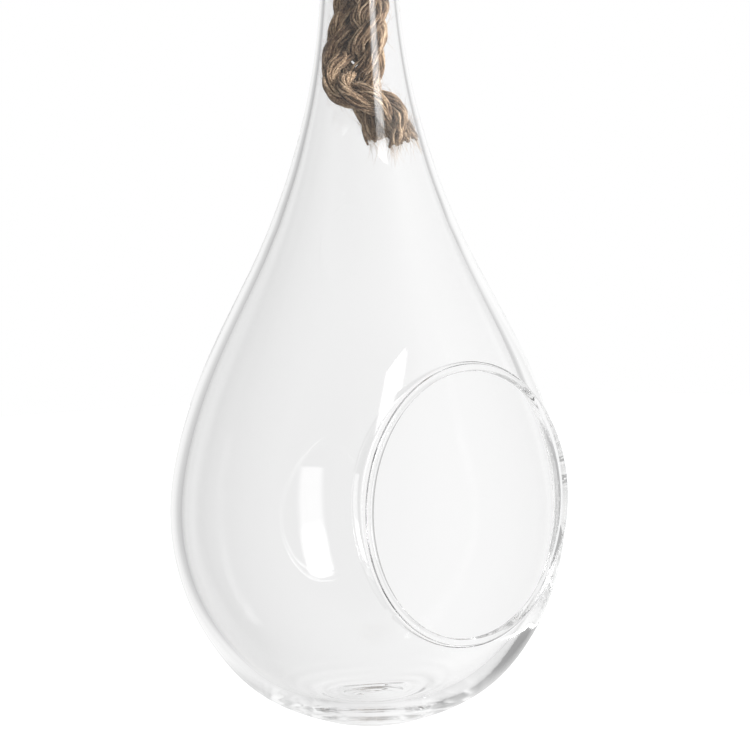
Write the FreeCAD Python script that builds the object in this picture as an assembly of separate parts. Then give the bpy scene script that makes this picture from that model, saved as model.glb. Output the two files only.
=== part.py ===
import FreeCAD, Part
import math
import os

from FreeCAD import Vector

# Hanging teardrop vessel of blown glass on a loop of jute rope, in millimetres.
# +Z is up and the side opening faces -Y. While the pieces are made, heights are measured from the foot
# of the glass. The finished pieces are moved so that the origin is the inside top of the loop's eye,
# where a hook carries the vessel.

# Jute rope, its loop and the eye at the loop's top
rope_diameter = 11.0
rope_sides = 8
leg_gap = 0.4
eye_width = 24.0
eye_rise = 105.0
eye_length = 66.0
eye_side_length = 28.0
loop_turn = -45.0

# Glass vessel
vessel_height = 290.0
neck_length = 40.0
belly_radius = 75.0
belly_height = 79.5
belly_wall = 4.4
rim_wall = 1.8
neck_clearance = 0.5
foot_radius = 19.0
foot_width = 6.5
punt_depth = 1.4
base_thickness = 6.5

# Side opening, in a front that is pressed a little flat
opening_radius = 48.0
opening_height = 84.0
front_distance = 56.0
front_blend = 8.0

# Where the loop's legs end and the knot begins, above the rim
knot_top_rise = 10.0
knot_straight_length = 5.6

# How far a cutter runs past its work, and how near an edge lies to the surface that it is looked for on
overrun = 10.0
edge_tolerance = 0.05

# Outline of the glass above and below the belly, in rows of height, radius and wall. Each row ends an arc
# that carries on from the one before it. Below the belly they are shares of the belly's height, of the
# step from foot radius to belly radius, and of the belly's wall. Above it they are shares of the height
# up to the straight neck, of the step from rim radius to belly radius, and of the step from rim wall to
# belly wall.
lower_outline_shares = ((0.340, 0.707, 1.12),)
upper_outline_shares = (
    (0.325, 0.767, 1.00),
    (0.531, 0.480, 0.75),
    (0.765, 0.213, 0.32),
    (1.000, 0.060, 0.06),
)
# The flame melts the cut lip nearly round: how far that reaches, as a share of the wall, and in how many
# bevels it goes. The thin rim has one bevel.
melted_edge_share = 0.46
melted_bevels = 3

# The knot, as the route of each rope end below the straight start under the loop's leg: across the
# loop's plane, out of it towards the front, and down from the rim. The ends make a full turn round each
# other in the neck. Then one hangs nearly straight. The other bows out against the glass that it
# carries, crosses in front of the first, and ends beside it.
straight_end_route = (
    (-5.3, 2.6, 1.4),
    (-3.1, 5.1, 7.0),
    (0.9, 6.0, 12.6),
    (4.4, 4.3, 18.0),
    (5.7, 3.4, 24.4),
    (5.2, 3.8, 31.0),
    (4.2, 3.2, 37.4),
    (3.9, 0.8, 43.4),
    (2.9, -2.6, 48.8),
    (1.7, -4.8, 54.2),
    (2.2, -5.1, 60.2),
    (4.2, -4.9, 66.4),
    (6.8, -4.7, 72.2),
)
bowed_end_route = (
    (5.3, -2.6, 1.4),
    (3.1, -5.1, 7.0),
    (-0.9, -6.0, 12.6),
    (-4.3, -4.1, 18.0),
    (-5.3, -3.4, 24.4),
    (-6.6, -2.7, 31.0),
    (-8.7, -1.5, 37.0),
    (-9.7, -0.3, 43.2),
    (-9.9, 1.8, 49.6),
    (-6.4, 5.6, 54.8),
    (0.2, 8.2, 57.2),
    (7.2, 6.8, 58.6),
    (11.6, 5.3, 63.0),
    (13.8, 4.5, 68.8),
    (15.4, 4.0, 74.5),
)

# Each arc of a rope's route takes this share of the shorter run beside its point.
arc_share = 0.45

leg_place = (rope_diameter + leg_gap) / 2
neck_bore = leg_place + rope_diameter / 2 + neck_clearance
rim_radius = neck_bore + rim_wall
knot_top = vessel_height + knot_top_rise
eye_height = vessel_height + eye_rise
eye_top = eye_height + rope_diameter / 2


def tangent_arcs(start, direction, places):
    """Arcs from the start through the places, each carrying on from the last, and the direction at each."""
    edges = []
    directions = []
    for end in places:
        chord = end - start
        half_length = chord.Length / 2
        chord.normalize()
        sideways = (direction - chord * chord.dot(direction)).normalize()
        bulge = half_length * math.tan(direction.getAngle(chord) / 2)
        edges.append(Part.Arc(start, (start + end) / 2 + sideways * bulge, end).toShape())
        direction = chord * (2 * chord.dot(direction)) - direction
        directions.append(direction)
        start = end
    return edges, directions


def moved_in(places, directions, walls):
    """The places moved towards the axis by the wall, square to the outline."""
    moved = []
    for place, direction, wall in zip(places, directions, walls):
        inward = Vector(-abs(direction.z), 0, math.copysign(direction.x, direction.x * direction.z))
        moved.append(place + inward * wall)
    return moved


def turned(edges, corners):
    """Solid of revolution about Z from curved edges and the corners that close their outline."""
    lines = [Part.LineSegment(start, end).toShape() for start, end in zip(corners, corners[1:])]
    wire = Part.Wire(Part.__sortEdges__([*edges, *lines]))
    return Part.Face(wire).revolve(Vector(0, 0, 0), Vector(0, 0, 1), 360)


def edges_where(shape, test):
    """The shape's edges whose points all pass the test, leaving out those shrunk to a point."""
    edges = [edge for edge in shape.Edges if not edge.Degenerated]
    return [edge for edge in edges if all(test(point) for point in edge.discretize(7))]


def pressed_flat(form, distance, blend):
    """The form with its front cut flat at a distance from the axis, and the cut's edge rounded."""
    reach = belly_radius + overrun
    keep = Part.makeBox(2 * reach, distance + reach, 2 * vessel_height, Vector(-reach, -distance, -overrun))
    flat = form.common(keep)
    crease = edges_where(flat, lambda point: abs(point.y + distance) < edge_tolerance)
    return flat.makeFillet(blend, crease)


def glass_forms():
    """The round outer form of the glass, and the inner form that its hollow has."""
    up = Vector(0, 0, 1)
    neck_height = vessel_height - neck_length
    melted = melted_edge_share * rim_wall
    foot = Vector(foot_radius, 0, 0)
    belly = Vector(belly_radius, 0, belly_height)
    lower = []
    lower_walls = []
    for height, radius, wall in lower_outline_shares:
        lower.append(Vector(foot_radius + radius * (belly_radius - foot_radius), 0, height * belly_height))
        lower_walls.append(wall * belly_wall)
    upper = []
    upper_walls = []
    for height, radius, wall in upper_outline_shares:
        upper.append(Vector(
            rim_radius + radius * (belly_radius - rim_radius),
            0,
            belly_height + height * (neck_height - belly_height),
        ))
        upper_walls.append(rim_wall + wall * (belly_wall - rim_wall))

    outer_lower, lower_directions = tangent_arcs(belly, -up, [*lower, foot])
    outer_upper, upper_directions = tangent_arcs(belly, up, upper)
    outer = turned([*outer_lower, *outer_upper], [
        upper[-1],
        Vector(rim_radius, 0, vessel_height - melted),
        Vector(rim_radius - melted, 0, vessel_height),
        Vector(0, 0, vessel_height),
        Vector(0, 0, 0),
        foot,
    ])

    inner_belly = belly - Vector(belly_wall, 0, 0)
    lower = moved_in(lower, lower_directions, lower_walls)
    upper = moved_in(upper, upper_directions, upper_walls)
    inner_lower, lower_directions = tangent_arcs(inner_belly, -up, lower)
    inner_upper = tangent_arcs(inner_belly, up, upper)[0]
    # The last arc of the hollow runs level into its floor.
    slope = math.asin(-lower_directions[-1].x)
    floor_arc = (lower[-1].z - base_thickness) / (1 - math.sin(slope))
    floor_edge = Vector(lower[-1].x - floor_arc * math.cos(slope), 0, base_thickness)
    inner_floor = tangent_arcs(lower[-1], lower_directions[-1], [floor_edge])[0]
    inner = turned([*inner_lower, *inner_floor, *inner_upper], [
        upper[-1],
        Vector(neck_bore, 0, vessel_height - melted),
        Vector(neck_bore + melted + overrun, 0, vessel_height + overrun),
        Vector(0, 0, vessel_height + overrun),
        Vector(0, 0, base_thickness),
        floor_edge,
    ])
    return outer, inner


def opening_cutter():
    """What is cut from the front for the side opening, with a lip that flares on both sides of the wall."""
    melted = melted_edge_share * belly_wall
    flare = []
    for step in range(melted_bevels + 1):
        angle = math.pi / 2 * step / melted_bevels
        flare.append((opening_radius + melted * (1 - math.sin(angle)), melted * (1 - math.cos(angle))))
    outside = [(radius, front_distance - depth) for radius, depth in flare]
    inside = [(radius, front_distance - belly_wall + depth) for radius, depth in reversed(flare)]
    widest = opening_radius + melted
    corners = [
        (0, front_distance + overrun),
        (widest, front_distance + overrun),
        *outside,
        *inside,
        (widest, 0),
        (0, 0),
        (0, front_distance + overrun),
    ]
    profile = Part.makePolygon([Vector(radius, -distance, opening_height) for radius, distance in corners])
    return Part.Face(profile).revolve(Vector(0, 0, opening_height), Vector(0, 1, 0), 360)


def glass_vessel():
    """The blown wall between its outer and inner forms, with the punt, the side opening and the rim."""
    outer, inner = glass_forms()
    outer = pressed_flat(outer, front_distance, front_blend)
    inner = pressed_flat(inner, front_distance - belly_wall, front_blend - belly_wall)
    punt_radius = foot_radius - foot_width
    punt_sphere = (punt_radius ** 2 + punt_depth ** 2) / (2 * punt_depth)
    punt = Part.makeSphere(punt_sphere, Vector(0, 0, punt_depth - punt_sphere))
    return outer.cut(inner).cut(opening_cutter()).cut(punt)


def rope_path(places):
    """Straight runs joined by tangent arcs, one at each place between the ends, and the arcs' radii."""
    edges = []
    radii = []
    start = places[0]
    for before, place, after in zip(places, places[1:], places[2:]):
        back = before - place
        on = after - place
        setback = arc_share * min(back.Length, on.Length)
        half_turn = (math.pi - back.getAngle(on)) / 2
        radius = setback / math.tan(half_turn)
        back.normalize()
        on.normalize()
        inward = (back + on).normalize()
        arc_start = place + back * setback
        arc_middle = place + inward * radius * (1 / math.cos(half_turn) - 1)
        arc_end = place + on * setback
        edges.append(Part.LineSegment(start, arc_start).toShape())
        edges.append(Part.Arc(arc_start, arc_middle, arc_end).toShape())
        radii.append(radius)
        start = arc_end
    edges.append(Part.LineSegment(start, places[-1]).toShape())
    return Part.Wire(edges), radii


def rope(name, places):
    """A tube along the route, for one stretch of the rope, with flat sides inside its diameter."""
    path, radii = rope_path(places)
    direction = places[1] - places[0]
    corner = direction.cross(Vector(0, 1, 0)).normalize() * (rope_diameter / 2)
    section = Part.makePolygon([
        places[0] + FreeCAD.Rotation(direction, 360 * side / rope_sides).multVec(corner)
        for side in range(rope_sides + 1)
    ])
    tube = path.makePipeShell([section], True, False)
    expected = Part.Face(section).Area * path.Length
    print(name, "length", round(path.Length, 1), "volume over section times length",
          round(tube.Volume / expected, 4), "arc radii", [round(radius, 1) for radius in radii])
    return tube


def in_loop_plane(across, forward, height):
    return Vector(across, -forward, height)


def hanging_loop():
    """Both legs, straight up out of the neck, and the eye that opens at their top."""
    side = eye_width / 2
    leg = (
        in_loop_plane(leg_place, 0, knot_top),
        in_loop_plane(leg_place, 0, eye_top - eye_length),
        in_loop_plane(side, 0, eye_top - eye_side_length),
        in_loop_plane(side, 0, eye_top),
    )
    other_leg = [Vector(-place.x, place.y, place.z) for place in reversed(leg)]
    return rope("hanging_loop", [*leg, *other_leg])


def knotted_end(name, leg_across, route):
    """One rope end, from the leg above it through the knot to its cut tail."""
    places = [
        in_loop_plane(leg_across, 0, knot_top),
        in_loop_plane(leg_across, 0, knot_top - knot_straight_length),
    ]
    for across, forward, down in route:
        places.append(in_loop_plane(across, forward, vessel_height - down))
    return rope(name, places)


def least_gap(first, second):
    return first.distToShape(second)[0]


pieces = {
    "glass_vessel": glass_vessel(),
    "hanging_loop": hanging_loop(),
    "knot_straight_end": knotted_end("knot_straight_end", -leg_place, straight_end_route),
    "knot_bowed_end": knotted_end("knot_bowed_end", leg_place, bowed_end_route),
}
for name in ("hanging_loop", "knot_straight_end", "knot_bowed_end"):
    pieces[name].rotate(Vector(0, 0, 0), Vector(0, 0, 1), loop_turn)

print("rope ends apart", round(least_gap(pieces["knot_straight_end"], pieces["knot_bowed_end"]), 2))
for name in ("hanging_loop", "knot_straight_end", "knot_bowed_end"):
    print(name, "to glass", round(least_gap(pieces[name], pieces["glass_vessel"]), 2))

os.makedirs("parts", exist_ok=True)
for name, shape in pieces.items():
    shape.translate(Vector(0, 0, -eye_height))
    print(name, "solids", len(shape.Solids), "valid", shape.isValid(), "volume", round(shape.Volume))
    shape.exportStep("parts/" + name + ".step")
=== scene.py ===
import math

import bpy
import numpy as np
from mathutils import Matrix, Vector


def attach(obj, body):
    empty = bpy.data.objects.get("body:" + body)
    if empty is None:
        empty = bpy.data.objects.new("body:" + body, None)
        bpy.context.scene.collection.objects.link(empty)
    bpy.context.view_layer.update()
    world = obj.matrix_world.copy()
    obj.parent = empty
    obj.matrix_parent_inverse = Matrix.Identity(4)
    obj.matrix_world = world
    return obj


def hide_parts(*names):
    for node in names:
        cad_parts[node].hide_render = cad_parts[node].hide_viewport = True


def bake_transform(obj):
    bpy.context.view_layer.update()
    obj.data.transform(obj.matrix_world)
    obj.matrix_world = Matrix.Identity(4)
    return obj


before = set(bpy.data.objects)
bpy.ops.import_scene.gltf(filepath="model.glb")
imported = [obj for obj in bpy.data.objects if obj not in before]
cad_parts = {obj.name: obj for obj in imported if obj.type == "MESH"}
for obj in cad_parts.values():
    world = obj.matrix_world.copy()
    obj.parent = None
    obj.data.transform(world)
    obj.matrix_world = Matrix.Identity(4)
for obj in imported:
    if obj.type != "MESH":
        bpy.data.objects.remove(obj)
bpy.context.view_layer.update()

# Jute rope. One length of brown rope, laid to the right from three strands, is doubled into the hanging
# loop. Its two ends go down through the glass neck, twist round each other and end in cut tails, and the
# knot that they make there is too thick to slip back out.
rope_diameter = 0.011
rope_lay = 0.034
rope_seed = 11
strand_count = 3
strand_place = 0.00295
strand_radius = 0.0027
yarns_in_strand = 18
yarn_radius = 0.00046
yarn_twist = 0.35
yarn_sides = 6
core_radius = strand_radius - 1.3 * yarn_radius
# The strand cores have a darker tone: painted shade where they show in the gaps between the yarns.
core_shade_tone = 0.25
point_step = 0.0008
loop_turn = math.radians(-45)
rim_height = -0.105
leg_place = 0.0057
eye_place = 0.012
knot_top = -0.095

# The route of each rope end below the rim: how far it lies across the loop's plane, how far out of it
# towards the front, and how far down from the rim.
straight_end_route = (
    (-0.0053, 0.0026, 0.0014),
    (-0.0031, 0.0051, 0.0070),
    (0.0009, 0.0060, 0.0126),
    (0.0044, 0.0043, 0.0180),
    (0.0057, 0.0034, 0.0244),
    (0.0052, 0.0038, 0.0310),
    (0.0042, 0.0032, 0.0374),
    (0.0039, 0.0008, 0.0434),
    (0.0029, -0.0026, 0.0488),
    (0.0017, -0.0048, 0.0542),
    (0.0022, -0.0051, 0.0602),
    (0.0042, -0.0049, 0.0664),
    (0.0068, -0.0047, 0.0722),
)
bowed_end_route = (
    (0.0053, -0.0026, 0.0014),
    (0.0031, -0.0051, 0.0070),
    (-0.0009, -0.0060, 0.0126),
    (-0.0043, -0.0041, 0.0180),
    (-0.0053, -0.0034, 0.0244),
    (-0.0066, -0.0027, 0.0310),
    (-0.0087, -0.0015, 0.0370),
    (-0.0097, -0.0003, 0.0432),
    (-0.0099, 0.0018, 0.0496),
    (-0.0064, 0.0056, 0.0548),
    (0.0002, 0.0082, 0.0572),
    (0.0072, 0.0068, 0.0586),
    (0.0116, 0.0053, 0.0630),
    (0.0138, 0.0045, 0.0688),
    (0.0154, 0.0040, 0.0745),
)
# One side of the loop above the rim: the distance from the middle, and the height from the inside of the eye.
loop_route = (
    (leg_place, -0.1006),
    (leg_place, knot_top),
    (leg_place, -0.0605),
    (eye_place, -0.0225),
    (eye_place, 0.0055),
)


def in_loop_plane(across, forward, height):
    """A place given across the loop's plane and out of it, in the frame's own directions."""
    return Matrix.Rotation(loop_turn, 3, "Z") @ Vector((across, -forward, height))


def below_rim(route):
    """The places of a rope end's route, in the frame's own directions."""
    return [in_loop_plane(across, forward, rim_height - down) for across, forward, down in route]


def smooth_line(places):
    """Points close together on the smooth curve that the places pull into shape."""
    curve = bpy.data.curves.new("route", "CURVE")
    curve.dimensions = "3D"
    curve.resolution_u = 24
    spline = curve.splines.new("NURBS")
    spline.points.add(len(places) - 1)
    for point, place in zip(spline.points, places):
        point.co = (*place, 1)
    spline.order_u = 3
    spline.use_endpoint_u = True
    guide = bpy.data.objects.new("route", curve)
    mesh = bpy.data.meshes.new_from_object(guide)
    line = np.array([vertex.co for vertex in mesh.vertices])
    bpy.data.objects.remove(guide)
    bpy.data.curves.remove(curve)
    bpy.data.meshes.remove(mesh)
    return line


def spaced_evenly(line, step):
    """The line with its points a step apart, and how far along it each one lies."""
    along = np.concatenate(([0], np.cumsum(np.linalg.norm(np.diff(line, axis=0), axis=1))))
    even = np.linspace(0, along[-1], round(along[-1] / step) + 1)
    return np.stack([np.interp(even, along, line[:, axis]) for axis in range(3)], axis=1), even


def directions_along(line):
    """Unit vectors along the line, to its side and square to both, that never spin about it."""
    forward = np.gradient(line, axis=0)
    forward /= np.linalg.norm(forward, axis=1, keepdims=True)
    leaning_way = (0.3, 0.5, 0.8)
    side = np.cross(forward[0], leaning_way)
    sides = []
    for direction in forward:
        side = side - direction * side.dot(direction)
        side /= np.linalg.norm(side)
        sides.append(side)
    sides = np.array(sides)
    return forward, sides, np.cross(forward, sides)


def gentle_wander(random, along, wave, size):
    """A value that drifts smoothly with the length along, for threads that don't lie true."""
    shares = (1.0, 0.53, 0.29)
    drift = np.zeros_like(along)
    for share in shares:
        drift += share * np.sin(2 * math.pi * (along / (wave * share) + random.random()))
    return size * drift / sum(shares)


def tubes_mesh(name, lines, radii, tones, sides):
    """One mesh of closed round tubes along the lines, with each tube's tone."""
    turn = np.arange(sides) * 2 * math.pi / sides
    corner = np.arange(sides)[None, :]
    places, faces, shades = [], [], []
    first = 0
    for line, radius, tone in zip(lines, radii, tones):
        count = len(line)
        forward, side, up = directions_along(line)
        ring = side[:, None] * np.cos(turn)[None, :, None] + up[:, None] * np.sin(turn)[None, :, None]
        places.append((line[:, None] + ring * radius[:, None, None]).reshape(-1, 3))
        shades.append(np.repeat(tone, sides))
        start = first + np.arange(count - 1)[:, None] * sides
        lower = start + corner
        beside = start + (corner + 1) % sides
        around = np.stack([lower, beside, beside + sides, lower + sides], axis=2)
        faces.extend(around.reshape(-1, 4).tolist())
        faces.append(list(range(first + sides - 1, first - 1, -1)))
        faces.append(list(range(first + (count - 1) * sides, first + count * sides)))
        first += count * sides
    mesh = bpy.data.meshes.new(name)
    mesh.from_pydata(np.concatenate(places).tolist(), [], faces)
    mesh.attributes.new("tone", "FLOAT", "POINT").data.foreach_set("value", np.concatenate(shades))
    mesh.shade_smooth()
    piece = bpy.data.objects.new(name, mesh)
    bpy.context.collection.objects.link(piece)
    return piece


straight_leg = [in_loop_plane(-across, 0, height) for across, height in loop_route]
bowed_leg = [in_loop_plane(across, 0, height) for across, height in loop_route]
rope_route = below_rim(straight_end_route)[::-1] + straight_leg + bowed_leg[::-1] + below_rim(bowed_end_route)
rope_line, rope_along = spaced_evenly(smooth_line(rope_route), point_step)
rope_length = rope_along[-1]
rope_forward, rope_side, rope_up = directions_along(rope_line)

# The cut tails spread a little.
fray_length = 0.005
fray_spread = 0.12
from_tail = np.minimum(rope_along, rope_length - rope_along)
tail_spread = 1 + fray_spread * np.clip(1 - from_tail / fray_length, 0, 1) ** 2

# Side by side in the neck, the two ends are soft and press each other wide, until hardly a gap is left.
pressed_wide = 0.62
pressed_ease = 0.012
straight_stretch = (0.012, 0.068)
bowed_stretch = (0.025, 0.090)
across_loop = np.array(in_loop_plane(1, 0, 0))


def pressed_along(from_end, start, stop):
    """How far the rope is pressed along one end, from nothing to fully and back to nothing."""
    inside = np.minimum(from_end - start, stop - from_end) / pressed_ease
    return pressed_wide * np.sin(np.clip(inside, 0, 1) * math.pi / 2) ** 2


straight_pressed = pressed_along(rope_along, *straight_stretch)
bowed_pressed = pressed_along(rope_length - rope_along, *bowed_stretch)


def laid_round(across, over):
    """The line beside the rope's middle at these distances, spread at the tails and where it is pressed."""
    offset = (rope_side * across[:, None] + rope_up * over[:, None]) * tail_spread[:, None]
    rightward = offset @ across_loop
    widening = np.where(rightward < 0, straight_pressed, bowed_pressed)
    return rope_line + offset + across_loop * (widening * rightward)[:, None]


# Yarns lie round each strand's core, and each of them ends at its own length. None lies quite true: each
# wander is how long its waves are, and how far they go.
turn_wander = (0.022, 0.42)
ring_wander = (0.013, 0.00015)
thickness_wander = (0.011, 0.42)
tone_wander = (0.018, 0.18)
middle_tone = 0.5
strand_tone_spread = 0.08
yarn_tone_spread = 0.17
yarn_cut_steps = 4
core_cut_steps = 5

random = np.random.default_rng(rope_seed)
yarn_lines, yarn_radii, yarn_tones = [], [], []
for strand in range(strand_count):
    strand_angle = 2 * math.pi * (rope_along / rope_lay + strand / strand_count)
    strand_across = strand_place * np.cos(strand_angle)
    strand_over = strand_place * np.sin(strand_angle)
    strand_tone = random.uniform(-strand_tone_spread, strand_tone_spread)
    for yarn in range(yarns_in_strand):
        angle = 2 * math.pi * (yarn / yarns_in_strand - yarn_twist * rope_along / rope_lay)
        angle = angle + gentle_wander(random, rope_along, *turn_wander)
        ring = strand_radius - yarn_radius + gentle_wander(random, rope_along, *ring_wander)
        line = laid_round(strand_across + ring * np.cos(angle), strand_over + ring * np.sin(angle))
        cut_start = int(random.integers(0, yarn_cut_steps))
        cut_end = len(line) - int(random.integers(0, yarn_cut_steps))
        radius = yarn_radius * (1.0 + gentle_wander(random, rope_along, *thickness_wander))
        tone = middle_tone + strand_tone + random.normal(0, yarn_tone_spread)
        tone = tone + gentle_wander(random, rope_along, *tone_wander)
        yarn_lines.append(line[cut_start:cut_end])
        yarn_radii.append(radius[cut_start:cut_end])
        yarn_tones.append(tone[cut_start:cut_end])
    # Each strand's core gets the darker tone, painted shade for the gaps between its yarns.
    core = laid_round(strand_across, strand_over)[core_cut_steps:-core_cut_steps]
    yarn_lines.append(core)
    yarn_radii.append(np.full(len(core), core_radius))
    yarn_tones.append(np.full(len(core), core_shade_tone))
rope = tubes_mesh("jute_rope", yarn_lines, yarn_radii, yarn_tones, yarn_sides)

# Loose fibres stand off the rope all along it, closest together at the cut tails. A fibre's lift and curl
# are shares of its reach, and its root's place is a share of the rope's diameter.
fibre_count = 2600
fibre_radius = 0.00005
fibre_tip_share = 0.3
fibre_points = 6
fibre_sides = 3
fibres_at_tails = 0.16
fibre_reach = (0.003, 0.010)
fibre_lift = (0.05, 0.22)
fibre_curl = 0.25
fibre_slant = 0.5
fibre_root = (0.38, 0.46)
fibre_tone = (0.45, 1.0)

fibre_lines, fibre_tones = [], []
along_fibre = np.linspace(0, 1, fibre_points)[:, None]
for number in range(fibre_count):
    if random.random() < fibres_at_tails:
        place = random.uniform(0, fray_length)
        place = place if random.random() < 0.5 else rope_length - place
    else:
        place = random.uniform(0, rope_length)
    point = min(int(place / point_step), len(rope_line) - 1)
    angle = random.uniform(0, 2 * math.pi)
    outward = rope_side[point] * math.cos(angle) + rope_up[point] * math.sin(angle)
    round_way = np.cross(rope_forward[point], outward)
    way = rope_forward[point] * random.choice((-1, 1)) + round_way * random.normal(0, fibre_slant)
    way /= np.linalg.norm(way)
    reach = random.uniform(*fibre_reach)
    lift = random.uniform(*fibre_lift) * reach
    curl = random.normal(0, fibre_curl) * reach
    root = rope_line[point] + outward * rope_diameter * random.uniform(*fibre_root)
    bend = outward * lift * along_fibre ** 1.5 + round_way * curl * along_fibre ** 2
    fibre_lines.append(root + way * reach * along_fibre + bend)
    fibre_tones.append(np.full(fibre_points, random.uniform(*fibre_tone)))
fibre_radii = [np.linspace(fibre_radius, fibre_tip_share * fibre_radius, fibre_points)] * fibre_count
fibres = tubes_mesh("jute_fibres", fibre_lines, fibre_radii, fibre_tones, fibre_sides)


def jute_material():
    """Matt brown jute: each yarn's own tone, with fine flecks and broad patches on it."""
    roughness = 0.82
    gloss = 0.25
    sheen = 0.15
    sheen_roughness = 0.5
    fleck_scale = 1500
    fleck_weight = 1.3
    patch_scale = 120
    patch_weight = 0.8
    level_shift = 1.05
    shades = (
        (0.10, (0.060, 0.036, 0.022, 1)),
        (0.5, (0.255, 0.170, 0.106, 1)),
        (0.90, (0.64, 0.48, 0.325, 1)),
    )
    bump_strength = 0.5
    bump_height = 0.0002

    material = bpy.data.materials.new("brown_jute")
    material.use_nodes = True
    nodes = material.node_tree.nodes
    links = material.node_tree.links
    shader = nodes["Principled BSDF"]
    shader.inputs["Roughness"].default_value = roughness
    shader.inputs["Specular IOR Level"].default_value = gloss
    shader.inputs["Sheen Weight"].default_value = sheen
    shader.inputs["Sheen Roughness"].default_value = sheen_roughness

    place = nodes.new("ShaderNodeTexCoord")
    tone = nodes.new("ShaderNodeAttribute")
    tone.attribute_name = "tone"
    level = tone.outputs["Fac"]
    for scale, detail, weight in ((patch_scale, 3, patch_weight), (fleck_scale, 4, fleck_weight)):
        noise = nodes.new("ShaderNodeTexNoise")
        noise.inputs["Scale"].default_value = scale
        noise.inputs["Detail"].default_value = detail
        links.new(place.outputs["Object"], noise.inputs["Vector"])
        added = nodes.new("ShaderNodeMath")
        added.operation = "MULTIPLY_ADD"
        added.inputs[1].default_value = weight
        links.new(noise.outputs["Fac"], added.inputs[0])
        links.new(level, added.inputs[2])
        level = added.outputs["Value"]
    shifted = nodes.new("ShaderNodeMath")
    shifted.operation = "SUBTRACT"
    shifted.inputs[1].default_value = level_shift
    links.new(level, shifted.inputs[0])
    colours = nodes.new("ShaderNodeValToRGB")
    elements = colours.color_ramp.elements
    elements.new(shades[1][0])
    for element, (position, colour) in zip(elements, shades):
        element.position = position
        element.color = colour
    links.new(shifted.outputs["Value"], colours.inputs["Fac"])
    links.new(colours.outputs["Color"], shader.inputs["Base Color"])

    bump = nodes.new("ShaderNodeBump")
    bump.inputs["Strength"].default_value = bump_strength
    bump.inputs["Distance"].default_value = bump_height
    links.new(noise.outputs["Fac"], bump.inputs["Height"])
    links.new(bump.outputs["Normal"], shader.inputs["Normal"])
    return material


jute = jute_material()
for piece in (rope, fibres):
    piece.data.materials.append(jute)
    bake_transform(piece)
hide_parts("hanging_loop", "knot_straight_end", "knot_bowed_end")

# Glass vessel. Clear soda glass, blown into a teardrop with a thick floor and a wall that thins towards
# the open neck. The front is pressed a little flat, and a round opening is cut there and its lip melted
# round by the flame.
foot_height = -0.395
foot_radius = 0.019
floor_thickness = 0.0065
opening_radius = 0.048
opening_height = 0.0840
front_distance = 0.0560
front_wall = 0.0029
front_softness = 0.018
bead_radius = 0.00145
bead_start = math.radians(50)
lip_radius = opening_radius + 2.1 * bead_radius

# The outline, as radius, height above the foot, and wall.
outline = (
    (foot_radius, 0.0000, floor_thickness),
    (0.0314, 0.0045, 0.0059),
    (0.0445, 0.0120, 0.0054),
    (0.0586, 0.0270, 0.0049),
    (0.0689, 0.0458, 0.0045),
    (0.0750, 0.0795, 0.0044),
    (0.0719, 0.1021, 0.0044),
    (0.0584, 0.1397, 0.0042),
    (0.0394, 0.1773, 0.0037),
    (0.0251, 0.2148, 0.0028),
    (0.0168, 0.2523, 0.0020),
    (0.0135, 0.2900, 0.0018),
)

# How finely the glass is divided.
side_rows = 300
glass_round = 288
web_rings = 26
bead_steps = 22
rim_steps = 8
floor_rows = 90
foot_rows = 30


def spline_through(values, knots, at):
    """A curve with steady bending through the values at the knots, read where asked."""
    gaps = np.diff(knots)
    count = len(knots)
    system = np.zeros((count, count))
    right = np.zeros((count, values.shape[1]))
    system[0, 0] = system[-1, -1] = 1
    for i in range(1, count - 1):
        system[i, i - 1] = gaps[i - 1]
        system[i, i] = 2 * (gaps[i - 1] + gaps[i])
        system[i, i + 1] = gaps[i]
        right[i] = 6 * ((values[i + 1] - values[i]) / gaps[i] - (values[i] - values[i - 1]) / gaps[i - 1])
    bends = np.linalg.solve(system, right)
    piece = np.clip(np.searchsorted(knots, at) - 1, 0, count - 2)
    gap = gaps[piece][:, None]
    after = (at - knots[piece])[:, None]
    before = gap - after
    return (
        (bends[piece] * before ** 3 + bends[piece + 1] * after ** 3) / (6 * gap)
        + (values[piece] / gap - bends[piece] * gap / 6) * before
        + (values[piece + 1] / gap - bends[piece + 1] * gap / 6) * after
    )


outline_points = np.array(outline)
outline_steps = np.linalg.norm(np.diff(outline_points[:, :2], axis=0), axis=1)
outline_knots = np.concatenate(([0], np.cumsum(outline_steps)))
fine = spline_through(outline_points, outline_knots, np.linspace(0, outline_knots[-1], side_rows + 1))
outer_side = fine[:, :2]
along_side = np.gradient(outer_side, axis=0)
along_side /= np.linalg.norm(along_side, axis=1, keepdims=True)
inward = np.stack([-along_side[:, 1], along_side[:, 0]], axis=1)
inner_side = outer_side + inward * fine[:, 2:3]
round_turns = np.linspace(-math.pi, math.pi, glass_round, endpoint=False)


def on_round(radius, height, turn):
    """Points of a round form at a turn from the front."""
    return np.stack([radius * np.sin(turn), -radius * np.cos(turn), height], axis=-1)


def whole_ring(radius, height):
    """Points all round the axis at one height."""
    return on_round(radius, np.full(glass_round, height), round_turns)


def pressed(places, distance):
    """The round form with its front drawn in softly to a plane at the distance."""
    places = places.copy()
    forward = -places[:, 1]
    gap = np.clip(1 - np.abs(forward - distance) / front_softness, 0, None)
    places[:, 1] = -(np.minimum(forward, distance) - gap ** 3 * front_softness / 6)
    return places


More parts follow.
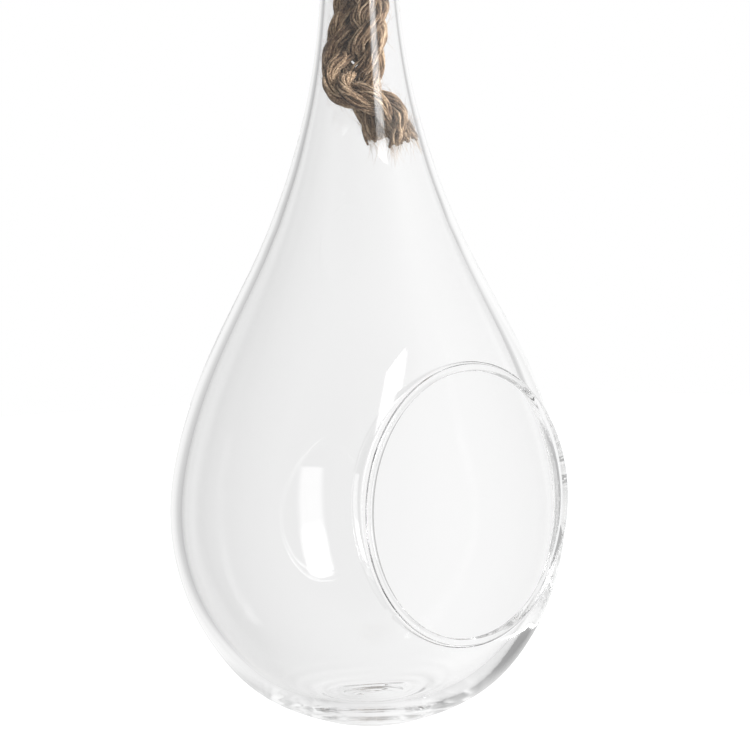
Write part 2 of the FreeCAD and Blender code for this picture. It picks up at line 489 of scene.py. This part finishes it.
class Grid:
    """Vertices and faces of the vessel's mesh, gathered surface by surface.

    Rows of vertices run up the outside, over the rim or the lip, and down the inside. A flip makes up for
    rows that run against that way, so that every face looks out of the glass.
    """

    def __init__(self):
        self.places = []
        self.faces = []
        self.count = 0

    def add(self, places):
        """New vertices, and their numbers."""
        self.places.append(places)
        self.count += len(places)
        return np.arange(self.count - len(places), self.count)

    def join(self, lower, upper, flip=False):
        """Faces between two closed rows of vertices."""
        for a, b, c, d in zip(lower, np.roll(lower, -1), np.roll(upper, -1), upper):
            self.faces.append((d, c, b, a) if flip else (a, b, c, d))

    def close(self, row, place, flip=False):
        """Faces from a closed row of vertices to one point in its middle."""
        centre = self.add(np.array([place]))[0]
        for a, b in zip(row, np.roll(row, -1)):
            self.faces.append((b, a, centre) if flip else (a, b, centre))


def wall_with_opening(grid, side, distance, flip):
    """One surface of the vessel: a grid round its side, and a web of rings from there to the lip.

    What comes back is its lowest row, its top row, the lip's row, and the way from the opening's middle to
    each vertex of the lip.
    """
    web_below = 0.012
    web_above = 0.016
    web_turn = math.radians(58)
    radii, heights = side[:, 0], side[:, 1]
    low_row = int(np.searchsorted(heights, opening_height - lip_radius - web_below))
    high_row = int(np.searchsorted(heights, opening_height + lip_radius + web_above))
    left_column = int(np.searchsorted(round_turns, -web_turn))
    right_column = glass_round - left_column

    index = {}
    for row, (radius, height) in enumerate(side):
        inside = low_row < row < high_row
        columns = [c for c in range(glass_round) if not (inside and left_column < c < right_column)]
        places = pressed(whole_ring(radius, height), distance)
        for column, vertex in zip(columns, grid.add(places[columns])):
            index[column, row] = vertex
    for row in range(len(side) - 1):
        for column in range(glass_round):
            if low_row <= row < high_row and left_column <= column < right_column:
                continue
            beside = (column + 1) % glass_round
            face = (index[column, row], index[beside, row], index[beside, row + 1], index[column, row + 1])
            grid.faces.append(face[::-1] if flip else face)

    # The web's outer edge runs round the block of the grid that the web fills, and its rings go in shares
    # from there to the lip.
    block = [(column, low_row) for column in range(left_column, right_column)]
    block += [(right_column, row) for row in range(low_row, high_row)]
    block += [(column, high_row) for column in range(right_column, left_column, -1)]
    block += [(left_column, row) for row in range(high_row, low_row, -1)]
    block_turn = np.array([round_turns[column] for column, row in block])
    block_height = np.array([heights[row] for column, row in block])
    way = np.arctan2(
        (block_height - opening_height) / (heights[high_row] - heights[low_row]) * 2,
        block_turn / web_turn,
    )
    lip_height = opening_height + lip_radius * np.sin(way)
    lip_turn = np.arcsin(lip_radius * np.cos(way) / np.interp(lip_height, heights, radii))
    previous = np.array([index[place] for place in block])
    for ring in range(1, web_rings + 1):
        share = ring / web_rings
        turn = block_turn + (lip_turn - block_turn) * share
        height = block_height + (lip_height - block_height) * share
        current = grid.add(pressed(on_round(np.interp(height, heights, radii), height, turn), distance))
        grid.join(previous, current, flip)
        previous = current
    first_row = [index[column, 0] for column in range(glass_round)]
    last_row = [index[column, len(side) - 1] for column in range(glass_round)]
    return first_row, last_row, previous, way


# The glass froze in faint rings that raise and lower its floor.
ripple_height = 0.00013
ripple_length = 0.0068
ripple_reach = 0.038
ripple_fading = 0.012
ripple_calm = 0.004
ripple_unevenness = 0.5
ripple_beat = 0.0173


def floor_ripple(radius):
    """How far the rings raise the floor at a radius."""
    fading = np.clip((ripple_reach - radius) / ripple_fading, 0, 1) * np.clip(radius / ripple_calm, 0, 1)
    uneven = 1 + ripple_unevenness * np.cos(2 * math.pi * radius / ripple_beat)
    return ripple_height * fading * uneven * np.cos(2 * math.pi * radius / ripple_length)


glass = Grid()
outer_first, outer_last, outer_edge, edge_way = wall_with_opening(glass, outer_side, front_distance, False)

# The inner side starts where the floor's curve meets it.
floor_rise = 0.004
inner_start = int(np.searchsorted(inner_side[:, 1], floor_thickness + floor_rise))
inner_side = inner_side[inner_start:]
inner_side[:, 1] += floor_ripple(inner_side[:, 0])
inner_first, inner_last, inner_edge = wall_with_opening(
    glass, inner_side, front_distance - front_wall, True
)[:3]

# Lip of the opening: a bead, melted nearly round, that joins the two surfaces of the wall.
outwards = np.stack([np.cos(edge_way), np.zeros_like(edge_way), np.sin(edge_way)], axis=1)
bead_middle = outwards * (opening_radius + bead_radius)
bead_middle[:, 1] = -front_distance + front_wall / 2
bead_middle[:, 2] += opening_height
previous = outer_edge
for step in range(bead_steps + 1):
    turn = bead_start + (2 * math.pi - 2 * bead_start) * step / bead_steps
    places = bead_middle + outwards * bead_radius * math.cos(turn)
    places[:, 1] -= bead_radius * math.sin(turn)
    current = glass.add(places)
    glass.join(previous, current)
    previous = current
glass.join(previous, inner_edge)

# Rim of the neck, melted round.
rim_middle = (outer_side[-1] + inner_side[-1]) / 2
rim_half = (outer_side[-1] - inner_side[-1]) / 2
rim_crown = np.array([0, rim_half[0]])
previous = outer_last
for step in range(1, rim_steps):
    turn = math.pi * step / rim_steps
    radius, height = rim_middle + rim_half * math.cos(turn) + rim_crown * math.sin(turn)
    current = glass.add(whole_ring(radius, height))
    glass.join(previous, current)
    previous = current
glass.join(previous, inner_last)

# Floor inside, with small specks on it that catch the light.
floor_hollowing = 3.2
floor_specks = ((-0.0078, 0.0012), (-0.0012, -0.0045), (0.0042, 0.0020), (0.0090, -0.0026))
speck_radius = 0.0011
speck_height = 0.00045
floor_radius, floor_edge = inner_side[0]
previous = inner_first
for row in range(1, floor_rows):
    share = 1 - row / floor_rows
    radius = floor_radius * share
    height = floor_thickness + (floor_edge - floor_thickness) * share ** floor_hollowing
    height += floor_ripple(radius) - floor_ripple(floor_radius) * share ** floor_hollowing
    places = whole_ring(radius, height)
    for speck_across, speck_forward in floor_specks:
        away = np.hypot(places[:, 0] - speck_across, places[:, 1] + speck_forward)
        places[:, 2] += speck_height * np.exp(-(away / speck_radius) ** 2)
    current = glass.add(places)
    glass.join(previous, current)
    previous = current
glass.close(previous, (0, 0, floor_thickness))

# Foot, a flat ring round the shallow hollow under the floor.
punt_radius = 0.0125
punt_depth = 0.0014
previous = outer_first
for row in range(1, foot_rows):
    radius = foot_radius * (1 - row / foot_rows)
    height = punt_depth * (1 - (radius / punt_radius) ** 2) if radius < punt_radius else 0
    current = glass.add(whole_ring(radius, height))
    glass.join(previous, current, flip=True)
    previous = current
glass.close(previous, (0, 0, punt_depth), flip=True)

places = np.concatenate(glass.places)
places[:, 2] += foot_height
mesh = bpy.data.meshes.new("teardrop_glass")
mesh.from_pydata(places.tolist(), [], [tuple(int(vertex) for vertex in face) for face in glass.faces])
mesh.validate()
mesh.shade_smooth()
vessel = bpy.data.objects.new("teardrop_glass", mesh)
bpy.context.collection.objects.link(vessel)

glass_bending = 1.51
glass_material = bpy.data.materials.new("clear_blown_glass")
glass_material.use_nodes = True
shader = glass_material.node_tree.nodes["Principled BSDF"]
shader.inputs["Base Color"].default_value = (1, 1, 1, 1)
shader.inputs["Transmission Weight"].default_value = 1
shader.inputs["Roughness"].default_value = 0
shader.inputs["IOR"].default_value = glass_bending
vessel.data.materials.append(glass_material)
vessel.visible_shadow = False
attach(vessel, "vessel")
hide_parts("glass_vessel")

# Studio. White air all round that is darker at the left, one tall softbox at the right of the camera, which
# draws the bright stripe down the glass, and a pale floor well below the hanging vessel. The camera looks
# from beside the opening's own direction, and a little from above.
view_turn = math.radians(-42.5)
view_rise = math.radians(2.5)
view_distance = 0.80
picture_width = 0.2830
picture_height = -0.26545
picture_shift = 0.0032
lean = math.radians(1.1)
sensor_width = 36

to_camera = Vector((
    math.sin(view_turn) * math.cos(view_rise),
    -math.cos(view_turn) * math.cos(view_rise),
    math.sin(view_rise),
))
to_right = Vector((math.cos(view_turn), math.sin(view_turn), 0))
target = to_right * picture_shift + Vector((0, 0, picture_height))
camera_data = bpy.data.cameras.new("camera")
camera_data.sensor_width = sensor_width
camera_data.lens = sensor_width * view_distance / picture_width
camera = bpy.data.objects.new("camera", camera_data)
bpy.context.collection.objects.link(camera)
camera.location = target + to_camera * view_distance
turned = to_camera.to_track_quat("Z", "Y").to_matrix() @ Matrix.Rotation(-lean, 3, "Z")
camera.rotation_euler = turned.to_euler()
bpy.context.scene.camera = camera

# How bright the air is, by how far it lies to the right: on the camera's side of the vessel, and beyond
# the vessel, where the glass bends it into the grey along its edges. It has one level round the camera, one
# for the light that it throws on the rope, and one where it is seen bare.
near_levels = (
    (-1, 0.28),
    (0, 0.60),
    (1, 1.0),
)
far_levels = (
    (-0.62, 0.55),
    (-0.50, 0.66),
    (-0.40, 0.98),
    (-0.28, 0.95),
    (-0.20, 0.87),
    (-0.13, 0.84),
    (-0.06, 0.90),
    (0.06, 1.0),
    (0.50, 1.0),
    (0.62, 0.5),
)
camera_level = 0.45
rope_level = 0.35
seen_level = 1.0
# How steeply the air round the camera and the air beyond the vessel set in, and from what level.
near_slope = (3.0, -1.2)
far_slope = (-3.0, -1.4)

world = bpy.data.worlds.new("studio_air")
world.use_nodes = True
bpy.context.scene.world = world
nodes = world.node_tree.nodes
links = world.node_tree.links
coordinates = nodes.new("ShaderNodeTexCoord")
seen_by = nodes.new("ShaderNodeLightPath")


def share_of_way(direction, slope, start):
    """How far the air's own direction lies that way, as a level from 0 to 1 on a slope."""
    towards = nodes.new("ShaderNodeVectorMath")
    towards.operation = "DOT_PRODUCT"
    towards.inputs[1].default_value = direction
    links.new(coordinates.outputs["Generated"], towards.inputs[0])
    level = nodes.new("ShaderNodeMath")
    level.operation = "MULTIPLY_ADD"
    level.use_clamp = True
    level.inputs[1].default_value = slope
    level.inputs[2].default_value = start
    links.new(towards.outputs["Value"], level.inputs[0])
    return level.outputs["Value"]


def levels_across(stops):
    """A level that changes from left to right, by how far the air's direction lies to the right."""
    ramp = nodes.new("ShaderNodeValToRGB")
    links.new(share_of_way(to_right, 0.5, 0.5), ramp.inputs["Fac"])
    elements = ramp.color_ramp.elements
    while len(elements) < len(stops):
        elements.new(0.5)
    for element, (rightward, level) in zip(elements, stops):
        element.position = 0.5 + 0.5 * rightward
        element.color = (level, level, level, 1)
    return ramp.outputs["Color"]


def towards_level(share, base, level):
    """The base level, or the new one as far as the share says."""
    mixed = nodes.new("ShaderNodeMix")
    links.new(share, mixed.inputs[0])
    links.new(base, mixed.inputs[2])
    if isinstance(level, float):
        mixed.inputs[3].default_value = level
    else:
        links.new(level, mixed.inputs[3])
    return mixed.outputs[0]


near_air = towards_level(share_of_way(to_camera, *near_slope), levels_across(near_levels), camera_level)
all_air = towards_level(share_of_way(to_camera, *far_slope), near_air, levels_across(far_levels))
rope_air = towards_level(seen_by.outputs["Is Diffuse Ray"], all_air, rope_level)
seen_air = towards_level(seen_by.outputs["Is Camera Ray"], rope_air, seen_level)
links.new(seen_air, nodes["Background"].inputs["Strength"])
nodes["Background"].inputs["Color"].default_value = (1, 1, 1, 1)


def area_light(name, width, height, power, way, distance):
    """A cloth-covered light that faces the vessel from that way."""
    data = bpy.data.lights.new(name, "AREA")
    data.shape = "RECTANGLE"
    data.size = width
    data.size_y = height
    data.energy = power
    light = bpy.data.objects.new(name, data)
    bpy.context.collection.objects.link(light)
    light.location = Vector((0, 0, picture_height)) + way * distance
    light.rotation_euler = way.to_track_quat("Z", "Y").to_euler()
    return light


softbox_width = 0.50
softbox_height = 1.5
softbox_power = 14.0
softbox_distance = 1.4
softbox_turn = view_turn + math.radians(39)
softbox_rise = 0.12
softbox_way = Vector((math.sin(softbox_turn), -math.cos(softbox_turn), softbox_rise)).normalized()
softbox = area_light(
    "tall_softbox", softbox_width, softbox_height, softbox_power, softbox_way, softbox_distance
)

# Its cloth fades towards both sides, and is brighter in the upper part.
side_fade = 0.22
brighter_from = 0.45
brighter_to = 0.70
lower_level = 0.32
softbox.data.use_nodes = True
cloth = softbox.data.node_tree
cloth_place = cloth.nodes.new("ShaderNodeNewGeometry")
cloth_parts = cloth.nodes.new("ShaderNodeSeparateXYZ")
cloth.links.new(cloth_place.outputs["Parametric"], cloth_parts.inputs[0])
from_side = cloth.nodes.new("ShaderNodeMath")
from_side.operation = "PINGPONG"
from_side.inputs[1].default_value = 0.5
cloth.links.new(cloth_parts.outputs["X"], from_side.inputs[0])
cloth_level = cloth.nodes.new("ShaderNodeMath")
cloth_level.operation = "MULTIPLY"
for part, start, end, low, level in (
    (from_side.outputs[0], 0, side_fade, 0, cloth_level.inputs[0]),
    (cloth_parts.outputs["Y"], brighter_from, brighter_to, lower_level, cloth_level.inputs[1]),
):
    rise = cloth.nodes.new("ShaderNodeMapRange")
    rise.interpolation_type = "SMOOTHSTEP"
    rise.inputs["From Min"].default_value = start
    rise.inputs["From Max"].default_value = end
    rise.inputs["To Min"].default_value = low
    cloth.links.new(part, rise.inputs["Value"])
    cloth.links.new(rise.outputs[0], level)
cloth.links.new(cloth_level.outputs[0], cloth.nodes["Emission"].inputs["Strength"])

# A second light brightens the rope from the right, and isn't mirrored in the glass.
side_light_size = 0.5
side_light_power = 20.0
side_light_distance = 1.2
side_light_way = (to_right * 0.9 + to_camera * 0.45 + Vector((0, 0, 0.35))).normalized()
side_light = area_light(
    "side_light", side_light_size, side_light_size, side_light_power, side_light_way, side_light_distance
)
side_light.visible_glossy = False
side_light.visible_transmission = False

floor_reach = 6.0
floor_drop = 0.30
floor_height = foot_height - floor_drop
floor_corners = [
    (-floor_reach, -floor_reach, floor_height),
    (floor_reach, -floor_reach, floor_height),
    (floor_reach, floor_reach, floor_height),
    (-floor_reach, floor_reach, floor_height),
]
floor_mesh = bpy.data.meshes.new("pale_floor")
floor_mesh.from_pydata(floor_corners, [], [(0, 1, 2, 3)])
floor = bpy.data.objects.new("pale_floor", floor_mesh)
bpy.context.collection.objects.link(floor)
floor_material = bpy.data.materials.new("pale_floor")
floor_material.use_nodes = True
floor_shader = floor_material.node_tree.nodes["Principled BSDF"]
floor_shader.inputs["Base Color"].default_value = (0.95, 0.95, 0.95, 1)
floor_shader.inputs["Roughness"].default_value = 0.9
floor_shader.inputs["Emission Color"].default_value = (1, 1, 1, 1)
floor_shader.inputs["Emission Strength"].default_value = 1
floor.visible_transmission = False
floor.visible_glossy = False
floor.data.materials.append(floor_material)

# Light that runs along inside the thick wall comes out again only after many turns.
wall_bounces = 120
bpy.context.scene.cycles.max_bounces = wall_bounces
bpy.context.scene.cycles.transmission_bounces = wall_bounces
bpy.context.scene.cycles.glossy_bounces = wall_bounces
bpy.context.scene.view_settings.view_transform = "Standard"
